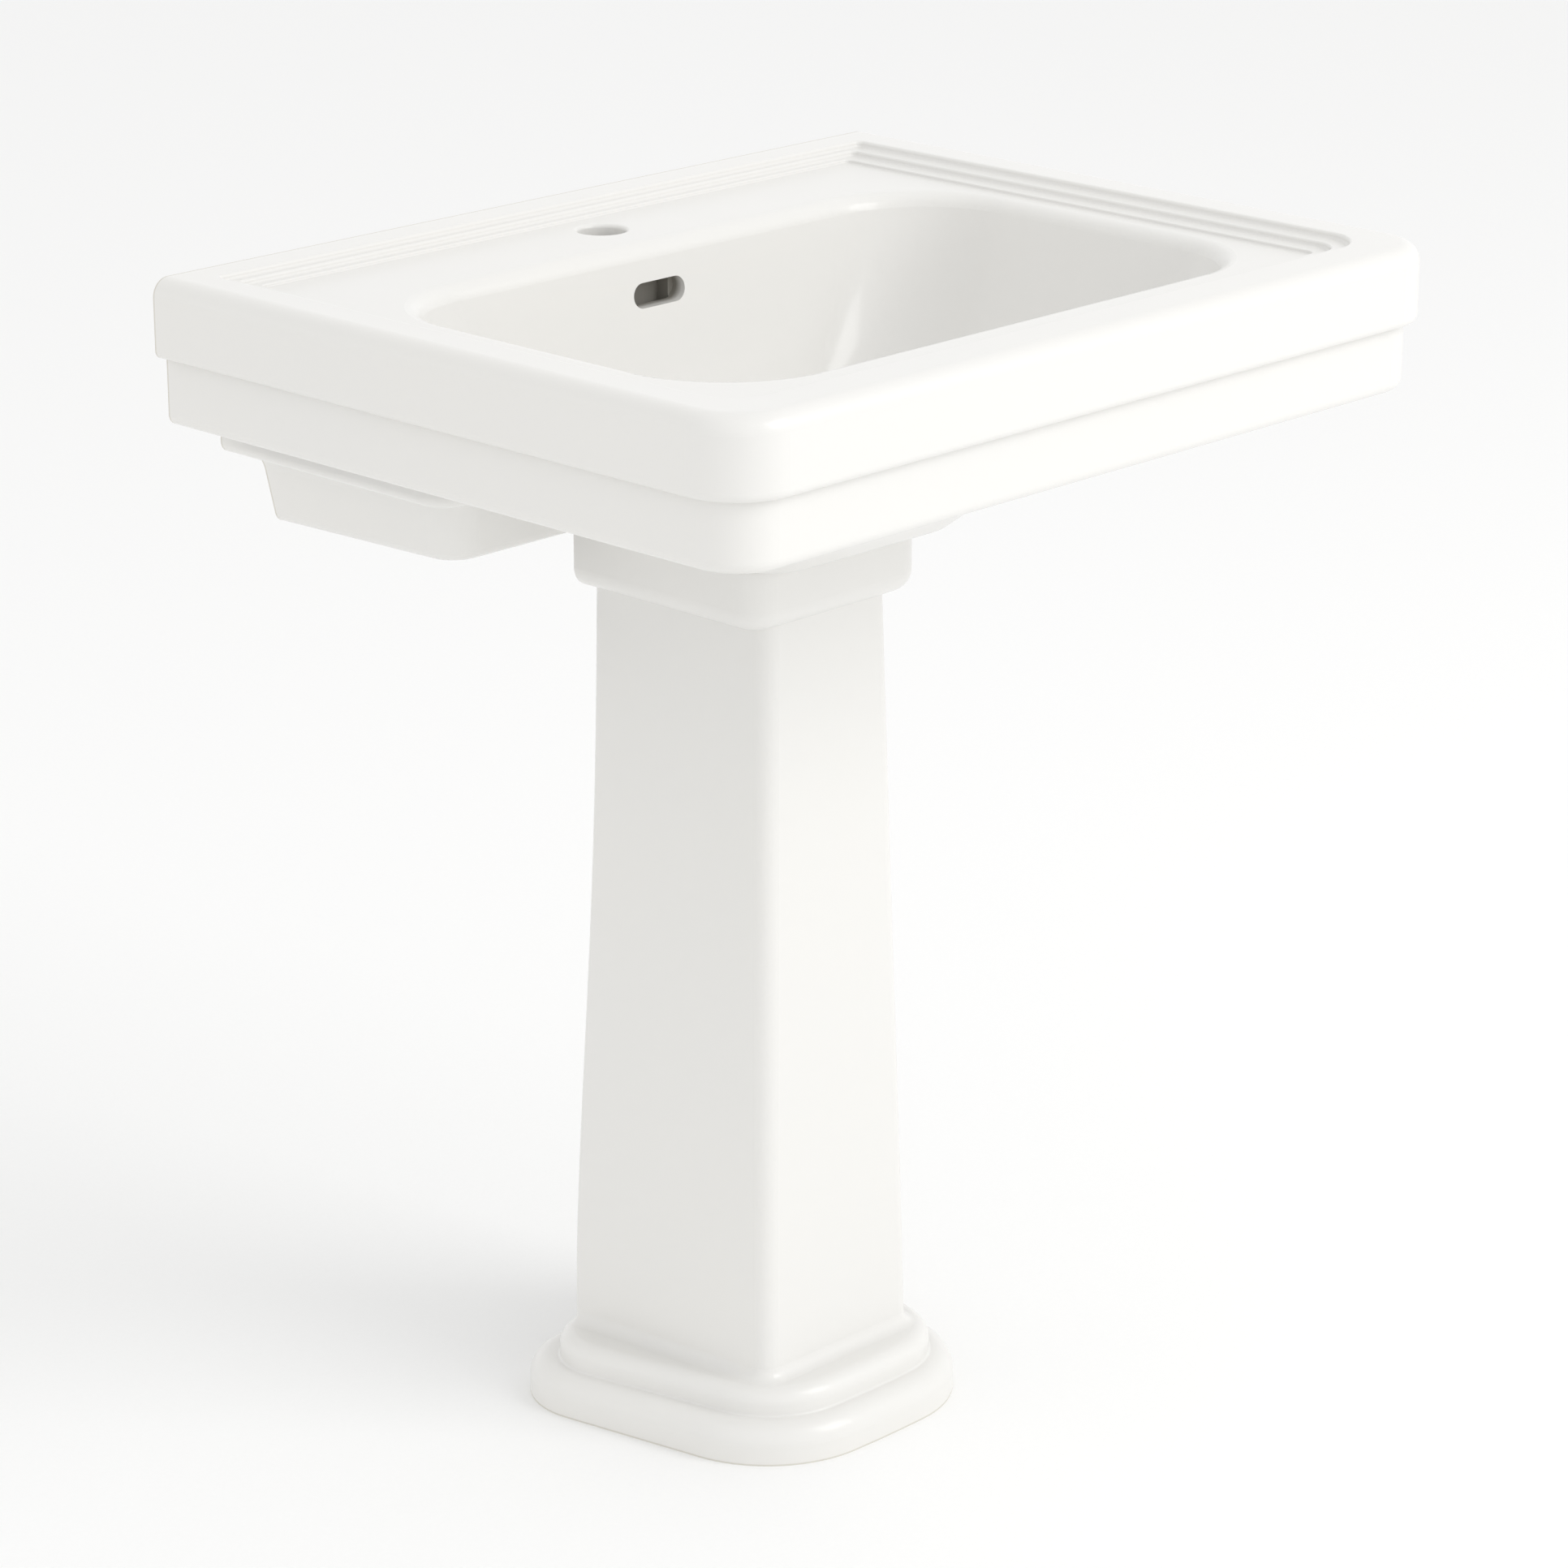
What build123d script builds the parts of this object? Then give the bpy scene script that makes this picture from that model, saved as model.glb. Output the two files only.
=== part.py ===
"""Pedestal sink: a vitreous china basin on a china pedestal, with the push-button waste it needs
to hold water. Millimetres, +Z up, front towards -Y, the wall behind the basin at +Y. The origin is
on the floor, under the middle of the basin."""
import os
from build123d import *

os.makedirs("parts", exist_ok=True)

# The whole sink
width = 700.0
depth = 552.0
height = 857.0

# Basin: upper band, apron below it, and the sunk deck with its stepped moulding
band_height = 55.5
band_corner = 46.0
band_edge = 13.0
band_lip = 6.0
apron_inset = 9.5
apron_drop = 103.5
apron_edge = 8.0
china_wall = 12.0
rim_side = 36.0
rim_front = 40.0
rim_back = 25.0
moulding_run = 13.0
moulding_drops = (4.5, 8.5, 11.0)
moulding_corner = 34.0
moulding_back_corner = 5.0
moulding_rounds = (2.2, 1.9, 1.2)
moulding_roots = (2.0, 1.8, 1.1)

# Bowl: its opening in the deck, and the sections down to its floor
bowl_half_width = 268.0
bowl_front = 186.0
bowl_back = 150.0
bowl_corner = 80.0
bowl_lip = 12.0
bowl_depth = 158.0
# depth below the deck, then how far the sides, the front and the back have moved in
bowl_shrink = (
    (0.0, 0.0, 0.0, 0.0),
    (46.0, 14.0, 16.0, 4.0),
    (92.0, 40.0, 44.0, 12.0),
    (147.0, 112.0, 104.0, 44.0),
)
bowl_round = 30.0
bowl_land = 6.0

# Underside: the bowl's outer shell, the seat on the pedestal and the deep rear body
seat_drop = 196.0
seat_half_width = 100.0
seat_front = 58.0
seat_back = 152.0
seat_corner = 40.0
seat_flare = 62.0
seat_flare_rise = 52.0
seat_edge = 15.0
ledge_half_width = 296.0
ledge_front = 50.0
ledge_drop = 131.0
ledge_edge = 8.0
trunk_half_width = 262.0
trunk_front = 106.0
trunk_drop = 190.0
trunk_corner = 26.0
trunk_edge = 9.0
trunk_draft = 14.0
trunk_taper = 11.0
trunk_front_draft = 6.0
trunk_cove = 25.0

# Openings in the basin
faucet_radius = 17.5
faucet_back = 205.0
faucet_edge = 3.0
overflow_length = 50.0
overflow_height = 18.0
overflow_drop = 47.0
duct_width = 40.0
duct_gap = 12.0
duct_wall = 8.0
port_rise = 10.0
port_height = 14.0
slot_reach = 24.0
drain_back = 40.0
drain_radius = 22.5
wall_bolt_spacing = 280.0
wall_bolt_radius = 7.0
wall_bolt_drop = 120.0

# Cushions between the basin and the pedestal
cushion_height = 4.0
cushion_length = 24.0
cushion_width = 10.0
cushion_back = (20.0, 122.0)

# Pedestal: capital, shaft and foot, an open-backed shell
pedestal_back = 148.0
pedestal_wall = 13.0
capital_half_width = 85.5
capital_front = 30.0
capital_corner = 22.0
capital_height = 46.0
capital_roll = 15.0
capital_lip = 3.0
shaft_corner = 13.0
shaft_back_corner = 5.0
# height above the floor, half width at the front, half width at the back, front face
shaft_sections = (
    (44.0, 75.4, 96.2, 31.6),
    (202.0, 72.2, 89.6, 28.1),
    (354.0, 68.4, 77.5, 24.6),
    (502.0, 64.7, 69.5, 21.2),
    (633.0, 61.0, 66.0, 18.0),
)
roll_heights = (30.0, 50.0)
# front face, back face, half widths at the front and the back, bow of the front, front and back corners
roll_outlines = (
    (82.0, 181.0, 109.0, 158.0, 6.0, 90.0, 62.0),
    (63.0, 158.0, 90.0, 139.0, 5.0, 64.0, 46.0),
)
roll_edges = (16.0, 11.0)
roll_root = 2.0
shaft_root = 9.0
foot_wall = 12.0
foot_roof = 13.0
foot_web = 12.0
foot_web_run = 40.0
foot_web_half_width = 70.0
floor_screw_radius = 5.0

# Waste: flange, slotted tube and what clamps it to the basin
flange_radius = 31.5
flange_thick = 2.5
flange_seat = 3.0
seal_thick = 1.5
tube_radius = 20.0
tube_bore = 17.0
tube_length = 80.0
port_width = 12.0
shoulder_bore = 15.2
shoulder_up = 17.5
shoulder_thick = 4.0
hub_radius = 9.0
hub_thick = 6.0
hub_drop = 43.0
arm_width = 5.0
cone_height = 12.0
cone_radius = 29.0
cone_taper = 4.0
cone_spigot = 3.0
washer_thick = 1.5
washer_radius = 28.0
nut_height = 12.0
nut_flats = 54.0
tailpiece_radius = 15.875
tailpiece_wall = 1.2
tailpiece_length = 135.0
collar_length = 14.0
ring_height = 2.0
fit_gap = 0.3
slide_gap = 0.05

# Push stopper and its latch
stopper_travel = 9.0
cap_radius = 28.0
cap_thick = 3.0
cap_crown = 5.0
cap_boss_radius = 6.0
cap_boss_height = 6.5
stopper_seal_radius = 22.5
stopper_seal_width = 4.0
stopper_seal_height = 2.0
barrel_radius = 7.0
barrel_bore = 4.5
barrel_height = 31.0
barrel_floor = 3.0
spigot_radius = 4.0
clip_thick = 2.0
plunger_head = 8.0
plunger_neck = 2.5
spring_wire = 0.9
spring_turns = 6

# Levels worked out from the sizes above
deck_z = height - moulding_drops[-1]
band_z = height - band_height
apron_z = height - apron_drop
ledge_z = height - ledge_drop
trunk_z = height - trunk_drop
seat_z = height - seat_drop
bowl_z = height - bowl_depth
back_y = depth / 2
overflow_z = height - overflow_drop
duct_y = bowl_back + duct_wall
duct_back = duct_y + duct_gap
port_z = seat_z + port_rise
capital_top = seat_z - cushion_height
capital_bottom = capital_top - capital_height


def plan(half_width, front, back, front_corner=0.0, back_corner=0.0):
    """A rectangle in plan, symmetric about X, with its own front and back corner radii."""
    with BuildSketch(mode=Mode.PRIVATE) as shape:
        with Locations((0, (front + back) / 2)):
            Rectangle(2 * half_width, back - front)
        if front_corner:
            fillet(shape.vertices().sort_by(Axis.Y)[:2], front_corner)
        if back_corner:
            fillet(shape.vertices().sort_by(Axis.Y)[-2:], back_corner)
    return shape.sketch


def tapered_plan(front_width, back_width, front, back, front_corner, back_corner, bow=0.0):
    """A four-sided plan, wider at the back, with a bowed front and rounded corners."""
    with BuildSketch(mode=Mode.PRIVATE) as shape:
        with BuildLine():
            left_back = (-back_width, back)
            left_front = (-front_width, front + bow)
            right_front = (front_width, front + bow)
            right_back = (back_width, back)
            Polyline(left_front, left_back, right_back, right_front)
            if bow:
                ThreePointArc(left_front, (0, front), right_front)
            else:
                Line(left_front, right_front)
        make_face()
        fillet(shape.vertices().sort_by(Axis.Y)[:2], front_corner)
        if back_corner:
            fillet(shape.vertices().sort_by(Axis.Y)[-2:], back_corner)
    return shape.sketch


def bowl_plan(step, grow=0.0):
    """The bowl's plan at one of its steps, grown outwards by a wall."""
    drop, sides, front, back = bowl_shrink[step]
    corner = bowl_corner - sides / 3 + grow
    half_width = bowl_half_width - sides + grow
    return plan(half_width, -bowl_front + front - grow, bowl_back - back + grow, corner, corner)


def trunk_plan(half_width, front, inset=0.0):
    """The rear body's plan, a little narrower at its front, moved inwards by a wall."""
    widths = (half_width - trunk_taper - inset, half_width - inset)
    return tapered_plan(*widths, front + inset, back_y - inset, trunk_corner - inset, 0)


def outside_bowl(edge):
    """Whether an edge lies outside the bowl's opening in plan."""
    middle = edge.center()
    return abs(middle.X) > bowl_half_width + 1 or not -bowl_front - 1 < middle.Y < bowl_back + 1


# Basin: the outer steps, then the open underside, the bowl's shell, the rear body, and the openings
with BuildPart() as basin:
    with BuildSketch(Plane.XY.offset(band_z)):
        add(plan(width / 2, -depth / 2, back_y, band_corner))
    extrude(amount=band_height)
    fillet(basin.faces().sort_by(Axis.Z)[-1].edges().sort_by(Axis.Y)[:-1], band_edge)
    fillet(basin.faces().sort_by(Axis.Z)[0].edges().sort_by(Axis.Y)[:-1], band_lip)
    with BuildSketch(Plane.XY.offset(apron_z)):
        add(plan(width / 2 - apron_inset, -depth / 2 + apron_inset, back_y, band_corner - apron_inset))
    extrude(amount=band_z - apron_z + band_lip)
    fillet(basin.faces().sort_by(Axis.Z)[0].edges().sort_by(Axis.Y)[:-1], apron_edge)
    # open underneath, with a wall left all round
    shell = apron_inset + china_wall
    with BuildSketch(Plane.XY.offset(apron_z)):
        add(plan(width / 2 - shell, -depth / 2 + shell, back_y - china_wall, band_corner - shell))
    extrude(amount=deck_z - china_wall - apron_z, mode=Mode.SUBTRACT)
    # the rear body: a ledge, a cove below it, and the deep trunk that goes against the wall
    with BuildSketch(Plane.XY.offset(ledge_z)):
        add(plan(ledge_half_width, ledge_front, back_y, trunk_corner))
    extrude(amount=deck_z - ledge_z - china_wall / 2)
    fillet(basin.faces().sort_by(Axis.Z)[0].edges().sort_by(Axis.Y)[:-1], ledge_edge)
    with BuildSketch(Plane.XY.offset(trunk_z)):
        add(trunk_plan(trunk_half_width - trunk_draft, trunk_front))
    with BuildSketch(Plane.XY.offset(ledge_z)):
        add(trunk_plan(trunk_half_width, trunk_front - 2 * trunk_front_draft))
    loft(ruled=True)
    cove = basin.edges().filter_by_position(Axis.Z, ledge_z - 0.1, ledge_z + 0.1)
    cove = cove.filter_by(lambda e: abs(e.center().X) < trunk_half_width + 1 and e.center().Y < back_y - 1)
    fillet(cove, trunk_cove)
    fillet(basin.faces().sort_by(Axis.Z)[0].edges().sort_by(Axis.Y)[:-1], trunk_edge)
    # the rear body is a shell too, with room behind the bowl for the faucet's nuts
    with BuildSketch(Plane.XY.offset(trunk_z)):
        add(trunk_plan(trunk_half_width - trunk_draft, trunk_front, china_wall))
    extrude(amount=ledge_z + china_wall - trunk_z, mode=Mode.SUBTRACT)
    with BuildSketch(Plane.XY.offset(ledge_z + china_wall)):
        inner = ledge_half_width - china_wall
        add(plan(inner, ledge_front + china_wall, back_y - china_wall, trunk_corner - china_wall))
    extrude(amount=deck_z - 2 * china_wall - ledge_z, mode=Mode.SUBTRACT)
    # the bowl's shell: down to its seat on the pedestal
    for step in range(len(bowl_shrink)):
        below = bowl_shrink[step][0] + (china_wall if step else bowl_land)
        with BuildSketch(Plane.XY.offset(deck_z - below)):
            add(bowl_plan(step, china_wall))
    loft()
    with BuildSketch(Plane.XY.offset(seat_z)):
        add(plan(seat_half_width, -seat_front, seat_back, seat_corner, seat_corner))
    with BuildSketch(Plane.XY.offset(seat_z + seat_flare_rise)):
        flare_width = seat_half_width + seat_flare
        add(plan(flare_width, -seat_front - seat_flare, duct_back, 2 * seat_corner, seat_corner))
    loft(ruled=True)
    fillet(basin.faces().sort_by(Axis.Z)[0].edges(), seat_edge)
    # overflow duct, down the back of the bowl and forward under its floor
    with BuildSketch(Plane.XY.offset(port_z - china_wall / 2)):
        with Locations((0, (duct_back + china_wall + drain_back) / 2)):
            Rectangle(duct_width + 2 * china_wall, duct_back + china_wall - drain_back)
    extrude(amount=deck_z - port_z)
    # bowl
    for step in range(len(bowl_shrink)):
        with BuildSketch(Plane.XY.offset(deck_z - bowl_shrink[step][0])):
            add(bowl_plan(step))
    loft(mode=Mode.SUBTRACT)
    # the sunk deck: three steps of moulding inside the raised rim
    for number, drop in enumerate(moulding_drops):
        run = number * moulding_run
        with BuildSketch(Plane.XY.offset(height - drop)):
            step_side = width / 2 - rim_side - run
            step_front = -depth / 2 + rim_front + run
            step_back = back_y - rim_back - run / 2
            add(plan(step_side, step_front, step_back, moulding_corner - run, moulding_back_corner))
        extrude(amount=drop, mode=Mode.SUBTRACT)
        level = height - (moulding_drops[number - 1] if number else 0)
        brim = basin.edges().filter_by_position(Axis.Z, level - 0.1, level + 0.1)
        brim = brim.filter_by(lambda e: abs(e.center().X) < step_side + 0.5)
        brim = brim.filter_by(lambda e: step_front - 0.5 < e.center().Y < step_back + 0.5)
        fillet(brim, moulding_rounds[number])
        root = basin.edges().filter_by_position(Axis.Z, height - drop - 0.1, height - drop + 0.1)
        fillet(root.filter_by(outside_bowl), moulding_roots[number])
    # bowl edge and floor
    bowl_edges = basin.edges().filter_by_position(Axis.Z, deck_z - 0.1, deck_z + 0.1)
    fillet(bowl_edges.filter_by(lambda e: not outside_bowl(e)), bowl_lip)
    floor_edges = basin.edges().filter_by_position(Axis.Z, bowl_z - 0.1, bowl_z + 0.1)
    fillet(floor_edges, bowl_round)
    # faucet hole, with a soft edge
    with Locations((0, faucet_back, deck_z)):
        Hole(faucet_radius, 2 * china_wall)
    deck_edges = basin.edges().filter_by_position(Axis.Z, deck_z - 0.1, deck_z + 0.1)
    deck_circles = deck_edges.filter_by(GeomType.CIRCLE)
    fillet(deck_circles.filter_by(lambda e: abs(e.radius - faucet_radius) < 0.1), faucet_edge)
    # drain hole and the shallow seat for the waste's flange
    with Locations((0, drain_back, bowl_z)):
        CounterBoreHole(drain_radius, flange_radius + 1.5, flange_seat, bowl_z - seat_z + 1)
    # overflow: a slot in the bowl's back wall, a duct down behind it, and a way into the drain hole
    with BuildSketch(Plane.XZ.offset(-duct_y - 1)):
        with Locations((0, overflow_z)):
            SlotOverall(overflow_length, overflow_height)
    extrude(amount=duct_wall + slot_reach, mode=Mode.SUBTRACT)
    with BuildSketch(Plane.XY.offset(port_z)):
        with Locations((0, duct_y + duct_gap / 2)):
            Rectangle(duct_width, duct_gap)
    extrude(amount=overflow_z + overflow_height / 2 - port_z, mode=Mode.SUBTRACT)
    with BuildSketch(Plane.XY.offset(port_z)):
        with Locations((0, (drain_back + duct_back) / 2)):
            Rectangle(duct_width, duct_back - drain_back)
    extrude(amount=port_height, mode=Mode.SUBTRACT)
    # two holes in the back wall for the wall bolts
    with BuildSketch(Plane.XZ.offset(-back_y)):
        with Locations((0, height - wall_bolt_drop)):
            with GridLocations(wall_bolt_spacing, 1, 2, 1):
                Circle(wall_bolt_radius)
    extrude(amount=2 * china_wall, mode=Mode.SUBTRACT)
basin.part.label = "basin"
export_step(basin.part, "parts/basin.step")

# Cushions: four soft pads between the pedestal's top edge and the basin's seat
cushion_x = capital_half_width - capital_lip - cushion_width / 2 - 1
with BuildPart() as cushions:
    with BuildSketch(Plane.XY.offset(capital_top)):
        for side in (-1, 1):
            for back in cushion_back:
                with Locations((side * cushion_x, back)):
                    Rectangle(cushion_width, cushion_length)
    extrude(amount=cushion_height)
    fillet(cushions.edges().filter_by(Axis.Z), 3)
cushions.part.label = "basin_cushions"
export_step(cushions.part, "parts/basin_cushions.step")


# Pedestal: a tapered shaft between the capital and two rolls at the foot, hollow and open behind
def shaft_plan(section, inset=0.0):
    """The shaft's plan at one of its sections, moved inwards by a wall."""
    level, front_width, back_width, front = section
    back = pedestal_back + (inset and 1)
    corner = max(shaft_corner - inset / 2, 4)
    back_corner = 0 if inset else shaft_back_corner
    return tapered_plan(front_width - inset, back_width - inset, -front + inset, back, corner, back_corner)


def roll_plan(number, inset=0.0):
    """The plan of one of the foot's rolls, moved inwards by a wall."""
    front, back, front_width, back_width, bow, corner, back_corner = roll_outlines[number]
    widths = (front_width - inset, back_width - inset)
    return tapered_plan(*widths, -front + inset, back - inset, corner - inset, back_corner - inset, bow)


def on_capital_side(edge):
    """Whether an edge of the capital lies on its front or sides, and not on the shaft or at the back."""
    middle = edge.center()
    outermost = max(abs(middle.X) / capital_half_width, -middle.Y / capital_front)
    return outermost > 0.9 and middle.Y < pedestal_back - 1


with BuildPart() as pedestal:
    for number, level in enumerate(roll_heights):
        with BuildSketch():
            add(roll_plan(number))
        extrude(amount=level)
        if number:
            below = roll_heights[number - 1]
            root = pedestal.edges(Select.LAST).filter_by_position(Axis.Z, below - 0.1, below + 0.1)
            fillet(root, roll_root)
        fillet(pedestal.faces().sort_by(Axis.Z)[-1].edges(), roll_edges[number])
    for section in shaft_sections:
        with BuildSketch(Plane.XY.offset(section[0])):
            add(shaft_plan(section))
    loft()
    below = roll_heights[-1]
    root = pedestal.edges(Select.LAST).filter_by_position(Axis.Z, below - 0.1, below + 0.1)
    fillet(root, shaft_root)
    with BuildSketch(Plane.XY.offset(capital_bottom)):
        add(plan(capital_half_width, -capital_front, pedestal_back, capital_corner))
    extrude(amount=capital_height)
    fillet(pedestal.faces().sort_by(Axis.Z)[-1].edges().sort_by(Axis.Y)[:-1], capital_lip)
    under = pedestal.edges().filter_by_position(Axis.Z, capital_bottom - 0.1, capital_bottom + 0.1)
    fillet(under.filter_by(on_capital_side), capital_roll)
    # hollow from top to bottom, and open behind the shaft
    for section in shaft_sections:
        with BuildSketch(Plane.XY.offset(section[0])):
            add(shaft_plan(section, pedestal_wall))
    loft(mode=Mode.SUBTRACT)
    with BuildSketch(Plane.XY.offset(shaft_sections[-1][0])):
        add(shaft_plan(shaft_sections[-1], pedestal_wall))
    extrude(amount=capital_top - shaft_sections[-1][0], mode=Mode.SUBTRACT)
    with BuildSketch():
        add(shaft_plan(shaft_sections[0], pedestal_wall))
    extrude(amount=shaft_sections[0][0], mode=Mode.SUBTRACT)
    # the foot is hollow underneath
    with BuildSketch():
        add(roll_plan(0, foot_wall))
    extrude(amount=roll_heights[0] - foot_roof, mode=Mode.SUBTRACT)
    # a web across the back of the foot takes the floor screw
    web_back = roll_outlines[0][1] - foot_wall + 1
    with BuildSketch():
        with Locations((0, web_back - foot_web_run / 2)):
            Rectangle(2 * foot_web_half_width, foot_web_run)
    extrude(amount=foot_web)
    with Locations((0, web_back - foot_web_run / 2, foot_web)):
        Hole(floor_screw_radius, foot_web)
pedestal.part.label = "pedestal"
export_step(pedestal.part, "parts/pedestal.step")

# Waste body: the flange in the bowl's floor and the tube below it, slotted where the overflow comes in
flange_z = bowl_z - flange_seat + seal_thick
tube_end = flange_z - tube_length
shoulder_z = tube_end + shoulder_up
hub_z = flange_z - hub_drop
with BuildPart() as waste_body:
    with BuildSketch(Plane.XY.offset(tube_end)):
        with Locations((0, drain_back)):
            Circle(tube_radius)
            Circle(tube_bore, mode=Mode.SUBTRACT)
    extrude(amount=tube_length)
    with BuildSketch(Plane.XY.offset(flange_z)):
        with Locations((0, drain_back)):
            Circle(flange_radius)
            Circle(tube_bore, mode=Mode.SUBTRACT)
    extrude(amount=flange_thick)
    flange_rims = waste_body.edges().filter_by(GeomType.CIRCLE).group_by(Axis.Z)[-1]
    fillet(flange_rims, flange_thick / 2 - 0.1)
    with BuildSketch(Plane.XY.offset(shoulder_z)):
        with Locations((0, drain_back)):
            Circle(tube_bore + slide_gap)
            Circle(shoulder_bore, mode=Mode.SUBTRACT)
    extrude(amount=shoulder_thick)
    # overflow ports on two sides
    with BuildSketch(Plane.XZ.offset(-drain_back - tube_radius - 1)):
        with Locations((0, port_z + port_height / 2)):
            SlotOverall(port_height, port_width, rotation=90)
    extrude(amount=2 * tube_radius + 2, mode=Mode.SUBTRACT)
    # three arms carry the hub that the latch stands on
    with BuildSketch(Plane.XY.offset(hub_z)):
        with Locations((0, drain_back)):
            Circle(hub_radius)
            with PolarLocations(tube_bore / 2 + 1, 3, start_angle=90):
                Rectangle(tube_bore, arm_width)
            Circle(spigot_radius + slide_gap, mode=Mode.SUBTRACT)
    extrude(amount=hub_thick)
waste_body.part.label = "waste_body"
export_step(waste_body.part, "parts/waste_body.step")


def ring(label, level, rise, outer, inner, top_outer=None):
    """Write a ring about the drain's axis, tapered where its top has its own radius."""
    with BuildPart() as piece:
        with BuildSketch(Plane.XY.offset(level)):
            with Locations((0, drain_back)):
                Circle(outer)
        if top_outer:
            with BuildSketch(Plane.XY.offset(level + rise)):
                with Locations((0, drain_back)):
                    Circle(top_outer)
            loft()
        else:
            extrude(amount=rise)
        with Locations((0, drain_back, level + rise)):
            Hole(inner)
    piece.part.label = label
    export_step(piece.part, f"parts/{label}.step")


washer_z = seat_z - cone_height - washer_thick
ring("flange_seal", flange_z - seal_thick, seal_thick, flange_radius - 1, tube_radius + fit_gap)
ring("friction_washer", washer_z, washer_thick, washer_radius, tube_radius + fit_gap)

# Cone washer: soft, wide against the basin's seat, with a spigot up into the drain hole
with BuildPart() as cone_washer:
    with BuildSketch(Plane.XY.offset(seat_z - cone_height)):
        with Locations((0, drain_back)):
            Circle(cone_radius - cone_taper)
    with BuildSketch(Plane.XY.offset(seat_z)):
        with Locations((0, drain_back)):
            Circle(cone_radius)
    loft()
    with BuildSketch(Plane.XY.offset(seat_z)):
        with Locations((0, drain_back)):
            Circle(drain_radius - fit_gap)
    extrude(amount=cone_spigot)
    with Locations((0, drain_back, seat_z)):
        Hole(tube_radius + fit_gap, 2 * cone_height)
cone_washer.part.label = "cone_washer"
export_step(cone_washer.part, "parts/cone_washer.step")

# Lock nut: pulls the waste down against the washers
nut_z = washer_z - nut_height
with BuildPart() as lock_nut:
    with BuildSketch(Plane.XY.offset(nut_z)):
        with Locations((0, drain_back)):
            RegularPolygon(nut_flats / 2, 6, major_radius=False)
    extrude(amount=nut_height)
    chamfer(lock_nut.edges().filter_by(GeomType.LINE).group_by(Axis.Z)[0], 1.2)
    with Locations((0, drain_back, nut_z + nut_height)):
        Hole(tube_radius + slide_gap)
lock_nut.part.label = "lock_nut"
export_step(lock_nut.part, "parts/lock_nut.step")

# Tailpiece: the outlet tube, its collar screwed up inside the waste against a sealing ring
collar_top = shoulder_z - ring_height
with BuildPart() as tailpiece:
    with BuildSketch(Plane.XY.offset(collar_top - tailpiece_length)):
        with Locations((0, drain_back)):
            Circle(tailpiece_radius)
    extrude(amount=tailpiece_length)
    with BuildSketch(Plane.XY.offset(collar_top - collar_length)):
        with Locations((0, drain_back)):
            Circle(tube_bore - slide_gap)
    extrude(amount=collar_length)
    with Locations((0, drain_back, collar_top)):
        Hole(tailpiece_radius - tailpiece_wall)
tailpiece.part.label = "tailpiece"
export_step(tailpiece.part, "parts/tailpiece.step")
ring("tailpiece_seal", collar_top, ring_height, tube_bore - slide_gap, shoulder_bore - 0.2)

# Latch barrel: a cup on the hub, its spigot down through it
barrel_z = hub_z + hub_thick
with BuildPart() as latch_barrel:
    with BuildSketch(Plane.XY.offset(barrel_z)):
        with Locations((0, drain_back)):
            Circle(barrel_radius)
    extrude(amount=barrel_height)
    with BuildSketch(Plane.XY.offset(barrel_z)):
        with Locations((0, drain_back)):
            Circle(spigot_radius)
    extrude(amount=-hub_thick)
    with Locations((0, drain_back, barrel_z + barrel_height)):
        Hole(barrel_bore, barrel_height - barrel_floor)
latch_barrel.part.label = "latch_barrel"
export_step(latch_barrel.part, "parts/latch_barrel.step")

# Latch clip: the ring that keeps the plunger's head in the barrel
barrel_top = barrel_z + barrel_height
ring("latch_clip", barrel_top, clip_thick, barrel_radius - 0.3, plunger_neck + fit_gap)

# Stopper: plunger, cap and seal, drawn raised, with the bowl open
cap_z = flange_z + flange_thick + fit_gap / 2 + stopper_travel + stopper_seal_height - 1
head_top = barrel_top - fit_gap
with BuildPart() as plunger:
    with BuildSketch(Plane.XY.offset(head_top - plunger_head)):
        with Locations((0, drain_back)):
            Circle(barrel_bore - fit_gap / 2)
    extrude(amount=plunger_head)
    with BuildSketch(Plane.XY.offset(head_top)):
        with Locations((0, drain_back)):
            Circle(plunger_neck)
    extrude(amount=cap_z - head_top)
plunger.part.label = "stopper_plunger"
export_step(plunger.part, "parts/stopper_plunger.step")

with BuildPart() as stopper_cap:
    with BuildSketch(Plane.XZ.offset(-drain_back)):
        with BuildLine():
            Line((0, cap_z), (cap_radius, cap_z))
            Line((cap_radius, cap_z), (cap_radius, cap_z + cap_thick / 2))
            TangentArc((0, cap_z + cap_crown), (cap_radius, cap_z + cap_thick / 2), tangent=(1, 0))
            Line((0, cap_z + cap_crown), (0, cap_z))
        make_face()
    revolve(axis=Axis((0, drain_back, 0), (0, 0, 1)))
    with BuildSketch(Plane.XY.offset(cap_z)):
        with Locations((0, drain_back)):
            Circle(cap_boss_radius)
    extrude(amount=-cap_boss_height)
    # socket for the plunger's neck, and a groove for the seal
    with BuildSketch(Plane.XY.offset(cap_z - cap_boss_height)):
        with Locations((0, drain_back)):
            Circle(plunger_neck + slide_gap)
    extrude(amount=cap_boss_height, mode=Mode.SUBTRACT)
    with BuildSketch(Plane.XY.offset(cap_z)):
        with Locations((0, drain_back)):
            Circle(stopper_seal_radius + stopper_seal_width / 2)
            Circle(stopper_seal_radius - stopper_seal_width / 2, mode=Mode.SUBTRACT)
    extrude(amount=1, mode=Mode.SUBTRACT)
stopper_cap.part.label = "stopper_cap"
export_step(stopper_cap.part, "parts/stopper_cap.step")
ring(
    "stopper_seal",
    cap_z + 1 - stopper_seal_height,
    stopper_seal_height,
    stopper_seal_radius + stopper_seal_width / 2,
    stopper_seal_radius - stopper_seal_width / 2,
)

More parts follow.
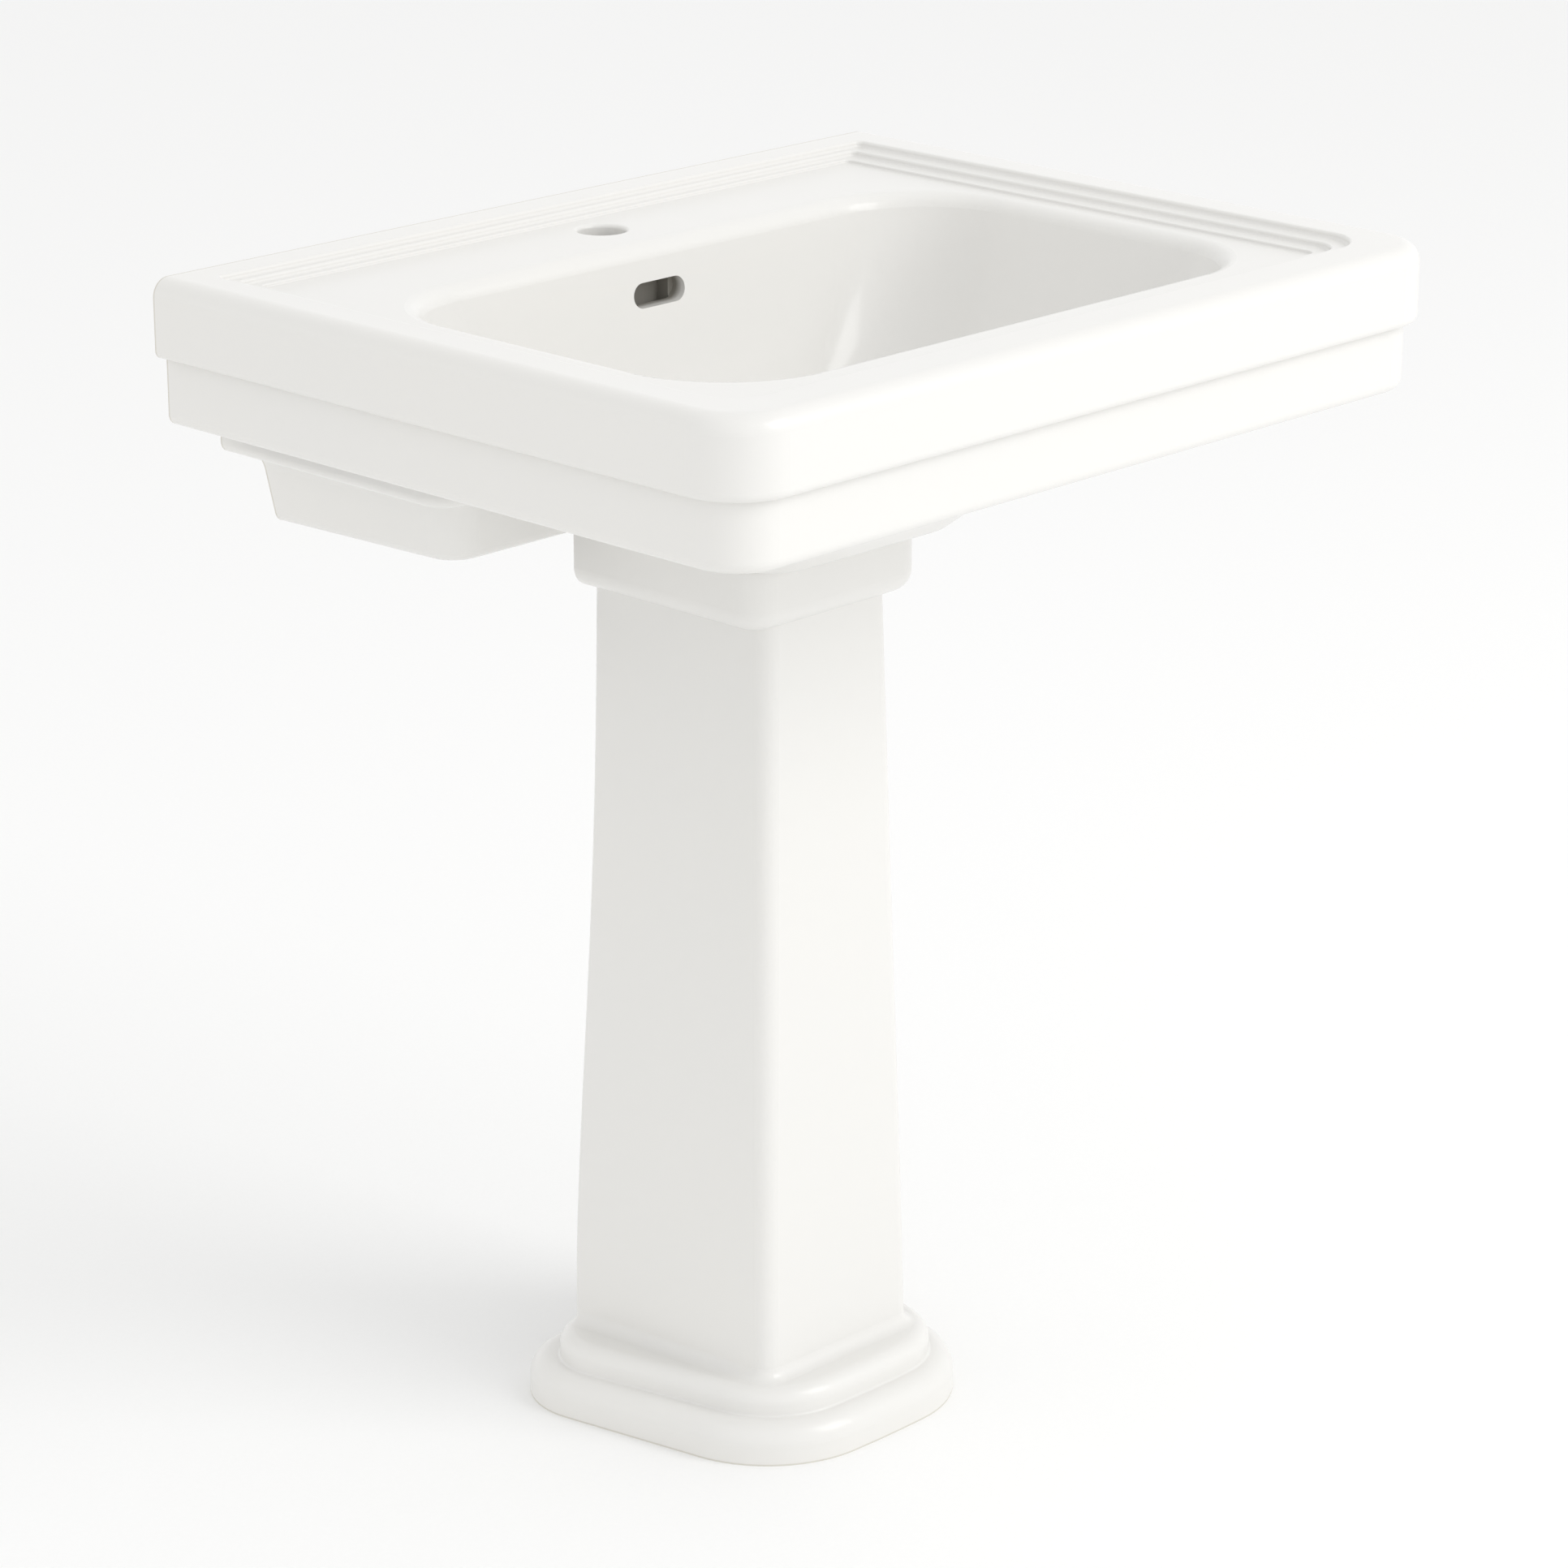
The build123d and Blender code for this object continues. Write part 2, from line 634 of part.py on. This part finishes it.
# Latch spring: a coil in the barrel under the plunger's head
spring_z = barrel_z + barrel_floor
spring_height = head_top - plunger_head - spring_z
coil_radius = barrel_bore - fit_gap - spring_wire
with BuildPart() as latch_spring:
    with BuildLine():
        Helix(
            (spring_height - 2 * spring_wire) / spring_turns,
            spring_height - 2 * spring_wire,
            coil_radius,
            center=(0, drain_back, spring_z + spring_wire),
        )
    with BuildSketch(Plane(origin=(coil_radius, drain_back, spring_z + spring_wire), z_dir=(0, 1, 0))):
        Circle(spring_wire / 2)
    sweep(is_frenet=True)
latch_spring.part.label = "latch_spring"
export_step(latch_spring.part, "parts/latch_spring.step")
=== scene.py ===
"""Pedestal sink: the finish of its china, its waste and its seals, in metres, around the built frame.
The sections follow the sink as it is put together, from the floor up."""

import bpy
import bmesh
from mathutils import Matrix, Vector


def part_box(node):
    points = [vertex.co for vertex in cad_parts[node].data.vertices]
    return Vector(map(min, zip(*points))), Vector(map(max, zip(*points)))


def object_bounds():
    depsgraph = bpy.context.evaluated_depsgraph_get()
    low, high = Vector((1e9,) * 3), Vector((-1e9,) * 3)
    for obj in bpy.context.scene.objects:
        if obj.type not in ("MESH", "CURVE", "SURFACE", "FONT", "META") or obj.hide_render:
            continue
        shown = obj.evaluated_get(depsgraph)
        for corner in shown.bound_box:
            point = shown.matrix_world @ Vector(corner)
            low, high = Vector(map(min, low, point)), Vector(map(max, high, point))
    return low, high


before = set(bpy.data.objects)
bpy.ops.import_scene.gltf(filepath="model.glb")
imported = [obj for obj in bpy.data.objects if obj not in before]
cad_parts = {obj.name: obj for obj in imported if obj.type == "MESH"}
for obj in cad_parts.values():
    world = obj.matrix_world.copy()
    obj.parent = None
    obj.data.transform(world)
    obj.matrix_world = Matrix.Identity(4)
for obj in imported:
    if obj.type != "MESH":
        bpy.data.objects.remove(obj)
built_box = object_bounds()

# Floor, light and camera
# A plain pale floor of matt paper runs out flat under the sink, far enough to fill the view.
# The room is white all round, and one large soft light hangs in front, a little to the right.
floor_reach = 14.0
floor_tooth = 260.0
floor_white = (0.95, 0.95, 0.945, 1.0)
floor_shade = (0.93, 0.93, 0.925, 1.0)


def paper_material():
    """Matt white studio paper with a faint tooth."""
    material = bpy.data.materials.new("studio_paper")
    material.use_nodes = True
    nodes, links = material.node_tree.nodes, material.node_tree.links
    shader = nodes["Principled BSDF"]
    shader.inputs["Roughness"].default_value = 0.9
    shader.inputs["Specular IOR Level"].default_value = 0.1
    place = nodes.new("ShaderNodeTexCoord")
    tooth = nodes.new("ShaderNodeTexNoise")
    tooth.inputs["Scale"].default_value = floor_tooth
    shade = nodes.new("ShaderNodeMix")
    shade.data_type = "RGBA"
    shade.inputs["A"].default_value = floor_white
    shade.inputs["B"].default_value = floor_shade
    links.new(place.outputs["Object"], tooth.inputs["Vector"])
    links.new(tooth.outputs["Fac"], shade.inputs["Factor"])
    links.new(shade.outputs["Result"], shader.inputs["Base Color"])
    return material


paper = bmesh.new()
bmesh.ops.create_grid(paper, x_segments=1, y_segments=1, size=floor_reach)
paper_mesh = bpy.data.meshes.new("studio_floor")
paper.to_mesh(paper_mesh)
paper.free()
paper_mesh.materials.append(paper_material())
studio_floor = bpy.data.objects.new("studio_floor", paper_mesh)
bpy.context.scene.collection.objects.link(studio_floor)

# the white room, its ceiling a little darker than its walls
wall_strength = 1.09
ceiling_strength = 0.86
ceiling_starts = 0.1
world = bpy.data.worlds.new("studio")
world.use_nodes = True
room_nodes, room_links = world.node_tree.nodes, world.node_tree.links
room = room_nodes["Background"]
room.inputs["Color"].default_value = (1.0, 1.0, 1.0, 1.0)
look = room_nodes.new("ShaderNodeTexCoord")
upward = room_nodes.new("ShaderNodeSeparateXYZ")
shade = room_nodes.new("ShaderNodeMapRange")
shade.inputs["From Min"].default_value = ceiling_starts
shade.inputs["To Min"].default_value = wall_strength
shade.inputs["To Max"].default_value = ceiling_strength
room_links.new(look.outputs["Generated"], upward.inputs["Vector"])
room_links.new(upward.outputs["Z"], shade.inputs["Value"])
room_links.new(shade.outputs["Result"], room.inputs["Strength"])
bpy.context.scene.world = world

# the soft light, a square cloth that faces the middle of the sink
light_place = Vector((1.5, -3.4, 3.0))
light_size = 2.4
light_power = 60.0
sink_middle = (Vector(built_box[0]) + Vector(built_box[1])) / 2
light_data = bpy.data.lights.new("key_light", "AREA")
light_data.shape = "SQUARE"
light_data.size = light_size
light_data.energy = light_power
key_light = bpy.data.objects.new("key_light", light_data)
key_light.location = light_place
key_light.rotation_euler = (sink_middle - light_place).to_track_quat("-Z", "Y").to_euler()
bpy.context.scene.collection.objects.link(key_light)

# a long lens, from the front on the left and a little above the rim
camera_place = Vector((-2.46967, -2.37284, 1.64098))
camera_forward = Vector((0.679442, 0.659657, -0.321264))
camera_lens = 117.66
camera_sensor = 36.0
camera_reach = 100.0
camera_data = bpy.data.cameras.new("view")
camera_data.lens = camera_lens
camera_data.sensor_width = camera_sensor
camera_data.clip_end = camera_reach
view_camera = bpy.data.objects.new("view", camera_data)
view_camera.location = camera_place
view_camera.rotation_euler = camera_forward.to_track_quat("-Z", "Y").to_euler()
bpy.context.scene.collection.objects.link(view_camera)
bpy.context.scene.camera = view_camera
bpy.context.scene.view_settings.view_transform = "Standard"


# Pedestal: vitreous china, slip cast in one piece, fired once at about 1200 degrees
# The sprayed white glaze pools a little, so its gloss waves, and it is thinner and warmer on the edges.
# It stands on the floor on its ground foot, where the body is bare, and a screw through its web holds it.
def coat_variation():
    """What a surface coat does: a slow change of tone, a slow wave and a fine grain."""
    group = bpy.data.node_groups.new("coat_variation", "ShaderNodeTree")
    colours = (("Colour", "Color"), ("Thin Colour", "Color"))
    amounts = (("Gloss", "Float"), ("Wave", "Float"), ("Peel", "Float"))
    for socket, kind in (*colours, *amounts):
        group.interface.new_socket(socket, in_out="INPUT", socket_type="NodeSocket" + kind)
    for socket, kind in (("Colour", "Color"), ("Roughness", "Float"), ("Normal", "Vector")):
        group.interface.new_socket(socket, in_out="OUTPUT", socket_type="NodeSocket" + kind)
    nodes, links = group.nodes, group.links
    given = nodes.new("NodeGroupInput")
    result = nodes.new("NodeGroupOutput")
    place = nodes.new("ShaderNodeTexCoord")

    def noise(scale, detail):
        """A noise over the piece, in its own coordinates."""
        texture = nodes.new("ShaderNodeTexNoise")
        texture.inputs["Scale"].default_value = scale
        texture.inputs["Detail"].default_value = detail
        links.new(place.outputs["Object"], texture.inputs["Vector"])
        return texture.outputs["Fac"]

    def ramp(value, start, end, top):
        """Zero up to the start, rising to the top at the end."""
        spread = nodes.new("ShaderNodeMapRange")
        spread.inputs["From Min"].default_value = start
        spread.inputs["From Max"].default_value = end
        spread.inputs["To Max"].default_value = top
        links.new(value, spread.inputs["Value"])
        return spread.outputs["Result"]

    def relief(height, strength, distance):
        """A bump from a height, as strong as one of the group's inputs says."""
        bump = nodes.new("ShaderNodeBump")
        bump.inputs["Distance"].default_value = distance
        links.new(height, bump.inputs["Height"])
        links.new(given.outputs[strength], bump.inputs["Strength"])
        return bump

    cloud = noise(scale=5.0, detail=3.0)
    wave = noise(scale=22.0, detail=1.0)
    peel = noise(scale=700.0, detail=2.0)
    # edges: where the coat is thin, found from how the surface turns
    corner = nodes.new("ShaderNodeNewGeometry")
    share = nodes.new("ShaderNodeMath")
    share.operation = "ADD"
    share.use_clamp = True
    links.new(ramp(corner.outputs["Pointiness"], 0.52, 0.62, top=0.5), share.inputs[0])
    links.new(ramp(cloud, 0.35, 0.7, top=0.35), share.inputs[1])
    colour = nodes.new("ShaderNodeMix")
    colour.data_type = "RGBA"
    links.new(share.outputs["Value"], colour.inputs["Factor"])
    links.new(given.outputs["Colour"], colour.inputs["A"])
    links.new(given.outputs["Thin Colour"], colour.inputs["B"])
    links.new(colour.outputs["Result"], result.inputs["Colour"])
    # the gloss drifts a little with the wave
    gloss_drift = 0.08
    gloss = nodes.new("ShaderNodeMath")
    gloss.operation = "MULTIPLY_ADD"
    gloss.inputs[1].default_value = gloss_drift
    links.new(wave, gloss.inputs[0])
    links.new(given.outputs["Gloss"], gloss.inputs[2])
    links.new(gloss.outputs["Value"], result.inputs["Roughness"])
    slow = relief(wave, "Wave", distance=0.001)
    fine = relief(peel, "Peel", distance=0.0001)
    links.new(slow.outputs["Normal"], fine.inputs["Normal"])
    links.new(fine.outputs["Normal"], result.inputs["Normal"])
    return group


coat = coat_variation()


def coated_material(name, colours, gloss, wave, peel, metallic=0.0):
    """A material whose tone, gloss and grain vary as its surface coat does."""
    material = bpy.data.materials.new(name)
    material.use_nodes = True
    nodes, links = material.node_tree.nodes, material.node_tree.links
    shader = nodes["Principled BSDF"]
    shader.inputs["Metallic"].default_value = metallic
    surface = nodes.new("ShaderNodeGroup")
    surface.node_tree = coat
    surface.inputs["Colour"].default_value = colours[0]
    surface.inputs["Thin Colour"].default_value = colours[1]
    surface.inputs["Gloss"].default_value = gloss
    surface.inputs["Wave"].default_value = wave
    surface.inputs["Peel"].default_value = peel
    links.new(surface.outputs["Colour"], shader.inputs["Base Color"])
    links.new(surface.outputs["Roughness"], shader.inputs["Roughness"])
    links.new(surface.outputs["Normal"], shader.inputs["Normal"])
    return material


def bare_and_shade_box(material, low, high, soft, bare_and_shade_colour, bare_roughness=0.8):
    """Change the colour and roughness inside a box: for bare body with no glaze, duller and a little
    darker; for a recess, much darker as painted shade.
    """
    nodes, links = material.node_tree.nodes, material.node_tree.links
    shader = nodes["Principled BSDF"]
    place = nodes.new("ShaderNodeTexCoord")
    apart = nodes.new("ShaderNodeSeparateXYZ")
    links.new(place.outputs["Object"], apart.inputs["Vector"])
    inside = None
    for axis, start, end in zip("XYZ", low, high):
        for edge, turn in ((start, 1), (end, -1)):
            ramp = nodes.new("ShaderNodeMapRange")
            ramp.inputs["From Min"].default_value = edge - turn * soft
            ramp.inputs["From Max"].default_value = edge + turn * soft
            links.new(apart.outputs[axis], ramp.inputs["Value"])
            both = nodes.new("ShaderNodeMath")
            both.operation = "MULTIPLY"
            both.inputs[0].default_value = 1.0
            if inside:
                links.new(inside, both.inputs[0])
            links.new(ramp.outputs["Result"], both.inputs[1])
            inside = both.outputs["Value"]
    for socket, box_finish in (("Base Color", bare_and_shade_colour), ("Roughness", bare_roughness)):
        link = shader.inputs[socket].links[0]
        mix = nodes.new("ShaderNodeMix")
        mix.data_type = "RGBA" if socket == "Base Color" else "FLOAT"
        ends = [given for given in mix.inputs if given.enabled]
        links.new(inside, ends[0])
        links.new(link.from_socket, ends[1])
        ends[2].default_value = box_finish
        links.new(next(found for found in mix.outputs if found.enabled), shader.inputs[socket])


def china_material(name):
    """Glazed white china: a soft white body under a clear glossy coat."""
    whites = ((0.785, 0.778, 0.756, 1.0), (0.8, 0.787, 0.755, 1.0))
    material = coated_material(name, whites, gloss=0.28, wave=0.25, peel=0.15)
    shader = material.node_tree.nodes["Principled BSDF"]
    shader.inputs["Specular IOR Level"].default_value = 0.35
    shader.inputs["Coat Weight"].default_value = 0.35
    shader.inputs["Coat Roughness"].default_value = 0.12
    return material


def finish(node, material):
    """Give a built piece its finish."""
    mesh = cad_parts[node].data
    mesh.materials.clear()
    mesh.materials.append(material)


bare_china = (0.66, 0.64, 0.58, 1.0)
ground_depth = 0.0012
ground_edge = 0.0004
pedestal_china = china_material("pedestal_china")
bare_and_shade_box(pedestal_china, (-1.0, -1.0, -1.0), (1.0, 1.0, ground_depth), ground_edge, bare_china)
finish("pedestal", pedestal_china)

# Basin cushions: four soft foam pads between the pedestal's top edge and the basin's seat
# Closed-cell foam, die cut and stuck down, so the two glazed pieces don't grind on each other.
foam_tones = ((0.6, 0.6, 0.58, 1.0), (0.72, 0.72, 0.7, 1.0))
finish("basin_cushions", coated_material("cushion_foam", foam_tones, gloss=0.75, wave=0.1, peel=1.0))

# Basin: the same china, cast hollow under the rim, with its own glaze firing
# It rests on the pedestal and is bolted to the wall through its back, which is ground flat and left bare.
# The spray doesn't reach inside the overflow or the hollow behind the bowl, so the body there is bare;
# both are also painted much darker than bare body, as painted shade in those recesses.
basin_china = china_material("basin_china")
ground_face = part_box("basin")[1].y - ground_depth
overflow_low = (-0.03, 0.153, 0.6)
overflow_high = (0.03, 0.174, 0.828)
# painted shade deep inside the overflow, far darker than bare body
overflow_painted_shade = (0.3, 0.285, 0.255, 1.0)
hollow_low = (-0.2, 0.176, 0.6)
hollow_high = (0.2, 0.266, 0.833)
# painted shade in the hollow behind the bowl, darker than bare body
hollow_painted_shade = (0.4, 0.385, 0.35, 1.0)
bare_and_shade_box(basin_china, (-1.0, ground_face, -1.0), (1.0, 1.0, 2.0), ground_edge, bare_china)
bare_and_shade_box(basin_china, overflow_low, overflow_high, 0.003, overflow_painted_shade)
bare_and_shade_box(basin_china, hollow_low, hollow_high, 0.002, hollow_painted_shade)
finish("basin", basin_china)

# Waste body: turned brass tube and flange, chromed, dropped through the drain hole on its seal
# Bright plate over polished brass, with a faint drift where it was buffed.
chrome_tones = ((0.78, 0.79, 0.8, 1.0), (0.7, 0.71, 0.72, 1.0))
chrome = coated_material("chrome_plate", chrome_tones, gloss=0.04, wave=0.05, peel=0.05, metallic=1.0)
finish("waste_body", chrome)

# Flange seal: a flat black rubber ring between the flange and the drain's seat
# Moulded, with the dusty bloom that rubber gets.
rubber_tones = ((0.025, 0.025, 0.026, 1.0), (0.09, 0.09, 0.09, 1.0))
rubber = coated_material("black_rubber", rubber_tones, gloss=0.55, wave=0.1, peel=0.8)
finish("flange_seal", rubber)

# Cone washer: thick tapered black rubber, pressed up into the drain hole from below
# The same moulded rubber as the flange's seal.
finish("cone_washer", rubber)

# Friction washer: a thin white plastic ring, so that the nut turns without dragging the rubber
# Stamped from sheet, slightly dull.
plastic_tones = ((0.78, 0.77, 0.73, 1.0), (0.86, 0.85, 0.82, 1.0))
finish("friction_washer", coated_material("washer_plastic", plastic_tones, gloss=0.35, wave=0.1, peel=0.4))

# Lock nut: forged brass hexagon, left as machined, tightened against the washers
# Bare yellow brass that has begun to darken.
brass_tones = ((0.72, 0.52, 0.24, 1.0), (0.5, 0.34, 0.15, 1.0))
brass = coated_material("bare_brass", brass_tones, gloss=0.22, wave=0.05, peel=0.4, metallic=1.0)
finish("lock_nut", brass)

# Tailpiece and its seal: the chromed outlet tube, screwed up inside the waste against a rubber ring
# Thin drawn tube with a brazed collar.
finish("tailpiece", chrome)
finish("tailpiece_seal", rubber)

# Latch barrel: a turned brass cup on the waste's cross arms, its spigot riveted below them
# Bare brass, the same bar stock as the plunger.
finish("latch_barrel", brass)

# Latch spring and clip: drawn spring steel wire and a stamped ring that holds the plunger in
# Both are zinc coated, a dull grey.
steel_tones = ((0.6, 0.6, 0.6, 1.0), (0.45, 0.45, 0.46, 1.0))
steel = coated_material("spring_steel", steel_tones, gloss=0.2, wave=0.05, peel=0.3, metallic=1.0)
finish("latch_spring", steel)
finish("latch_clip", steel)

# Stopper: the chromed cap on its brass plunger, with a rubber seal in the groove below it
# Pressed down it closes the bowl, and the spring lifts it again.
finish("stopper_plunger", brass)
finish("stopper_cap", chrome)
finish("stopper_seal", rubber)
